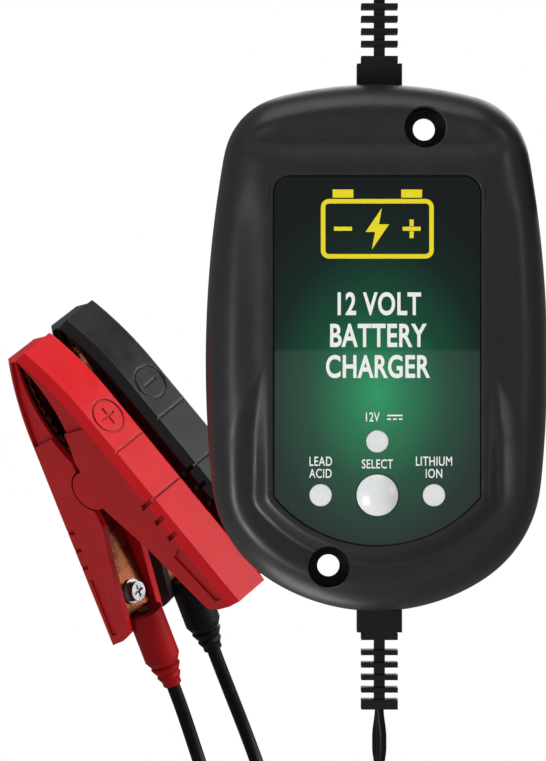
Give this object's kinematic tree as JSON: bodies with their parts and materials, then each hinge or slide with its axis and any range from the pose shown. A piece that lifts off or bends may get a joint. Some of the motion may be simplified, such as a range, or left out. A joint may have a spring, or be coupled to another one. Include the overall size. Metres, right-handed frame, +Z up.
{
  "type": "car battery charger",
  "caption": "Small wall-hung car battery charger with a lit front panel, a mains cord and plug, and a plug-in lead with a red and a black spring clamp.",
  "frame": {"origin": "centre of the case's flat back face, halfway between the two hanging holes", "axes": "+Z up along the case towards the mains cord, +Y out of the back face into the wall, +X to the viewer's right; the labelled front faces -Y"},
  "size_m": [0.1509, 0.0888, 0.2712],
  "materials": {
    "case_plastic": "fine satin moulded, dark grey",
    "paper_label": "satin printed foil",
    "seal_rubber": "matte",
    "screw_steel": "zinc plated",
    "panel_print": "glossy print fading from black to green",
    "lamp_lens": "frosted translucent",
    "led_epoxy": "clear epoxy",
    "button_cap": "polished white",
    "switch_case": "matte",
    "board_laminate": "lacquered glass fibre laminate",
    "capacitor_sleeve": "shrunk sleeve",
    "ferrite": "matte sintered",
    "winding_tape": "polyester tape over copper",
    "copper_winding": "enamelled copper",
    "chip_epoxy": "matte moulded",
    "heat_sink_aluminium": "plain bent sheet",
    "safety_capacitor_case": "matte box",
    "fuse_glass": "clear tube with metal caps",
    "wire_jacket": "soft satin",
    "cord_rubber": "matte moulded",
    "cord_jacket": "soft satin",
    "plug_blade_metal": "nickel plated",
    "contact_metal": "bright",
    "red_grip": "satin red",
    "black_grip": "satin black",
    "red_boot": "satin red",
    "black_boot": "satin black",
    "jaw_copper": "copper plated sheet",
    "spring_steel": "bright spring wire"
  },
  "bodies": {
    "charger": {"front_housing": "case_plastic", "rear_cover": "case_plastic", "rating_label": "paper_label", "housing_gasket": "seal_rubber", "rear_cover_screws": "screw_steel", "label_panel": "panel_print", "charge_led_lens": "lamp_lens", "lead_acid_led_lens": "lamp_lens", "lithium_led_lens": "lamp_lens", "indicator_leds": "led_epoxy", "button_switch": "switch_case", "circuit_board": "board_laminate", "circuit_board_screws": "screw_steel", "input_capacitor": "capacitor_sleeve", "output_capacitor": "capacitor_sleeve", "transformer_core": "ferrite", "transformer_winding": "winding_tape", "line_choke": "copper_winding", "switching_transistor": "chip_epoxy", "output_diode": "chip_epoxy", "heat_sink": "heat_sink_aluminium", "safety_capacitor": "safety_capacitor_case", "bridge_rectifier": "chip_epoxy", "control_chip": "chip_epoxy", "optocoupler": "chip_epoxy", "mains_fuse": "fuse_glass", "mains_inner_wires": "wire_jacket", "output_inner_wires": "wire_jacket", "mains_strain_relief": "cord_rubber", "output_strain_relief": "cord_rubber", "mains_cord": "cord_jacket", "mains_plug_body": "cord_rubber", "mains_plug_blades": "plug_blade_metal", "output_cord": "cord_jacket", "output_connector_shell": "cord_rubber", "output_connector_contacts": "contact_metal"},
    "button": {"select_button": "button_cap", "switch_plunger": "switch_case"},
    "clamp_lead": {"clamp_connector_shell": "cord_rubber", "clamp_connector_contacts": "contact_metal", "positive_lower_grip": "red_grip", "positive_lower_jaw": "jaw_copper", "positive_pivot_pin": "screw_steel", "positive_spring": "spring_steel", "positive_terminal_screw": "screw_steel", "positive_boot": "red_boot", "positive_wire": "wire_jacket", "negative_lower_grip": "black_grip", "negative_lower_jaw": "jaw_copper", "negative_pivot_pin": "screw_steel", "negative_spring": "spring_steel", "negative_terminal_screw": "screw_steel", "negative_boot": "black_boot", "negative_wire": "wire_jacket"},
    "positive_lever": {"positive_upper_grip": "red_grip", "positive_upper_jaw": "jaw_copper"},
    "negative_lever": {"negative_upper_grip": "black_grip", "negative_upper_jaw": "jaw_copper"}
  },
  "joints": [
    {"name": "select_press", "type": "slide", "parent": "charger", "child": "button", "axis": [0, 1, 0], "range_m": [0, 0.0006], "stiffness_N_per_m": 2500, "springref_m": -0.0001},
    {"name": "clamp_lead_unplug", "type": "slide", "parent": "charger", "child": "clamp_lead", "axis": [0, 0, -1], "range_m": [0, 0.016]},
    {"name": "positive_clamp_open", "type": "hinge", "parent": "clamp_lead", "child": "positive_lever", "pos_m": [-0.0612, 0.0063, -0.0296], "axis": [0.5673, 0.6786, 0.4666], "range_deg": [0, 28], "stiffness_Nm_per_rad": 0.8, "springref_deg": -34.38, "deforming": ["positive_spring"]},
    {"name": "negative_clamp_open", "type": "hinge", "parent": "clamp_lead", "child": "negative_lever", "pos_m": [-0.05184, 0.0175, -0.0219], "axis": [0.5673, 0.6786, 0.4666], "range_deg": [0, 28], "stiffness_Nm_per_rad": 0.8, "springref_deg": -34.38, "deforming": ["negative_spring"]}
  ]
}
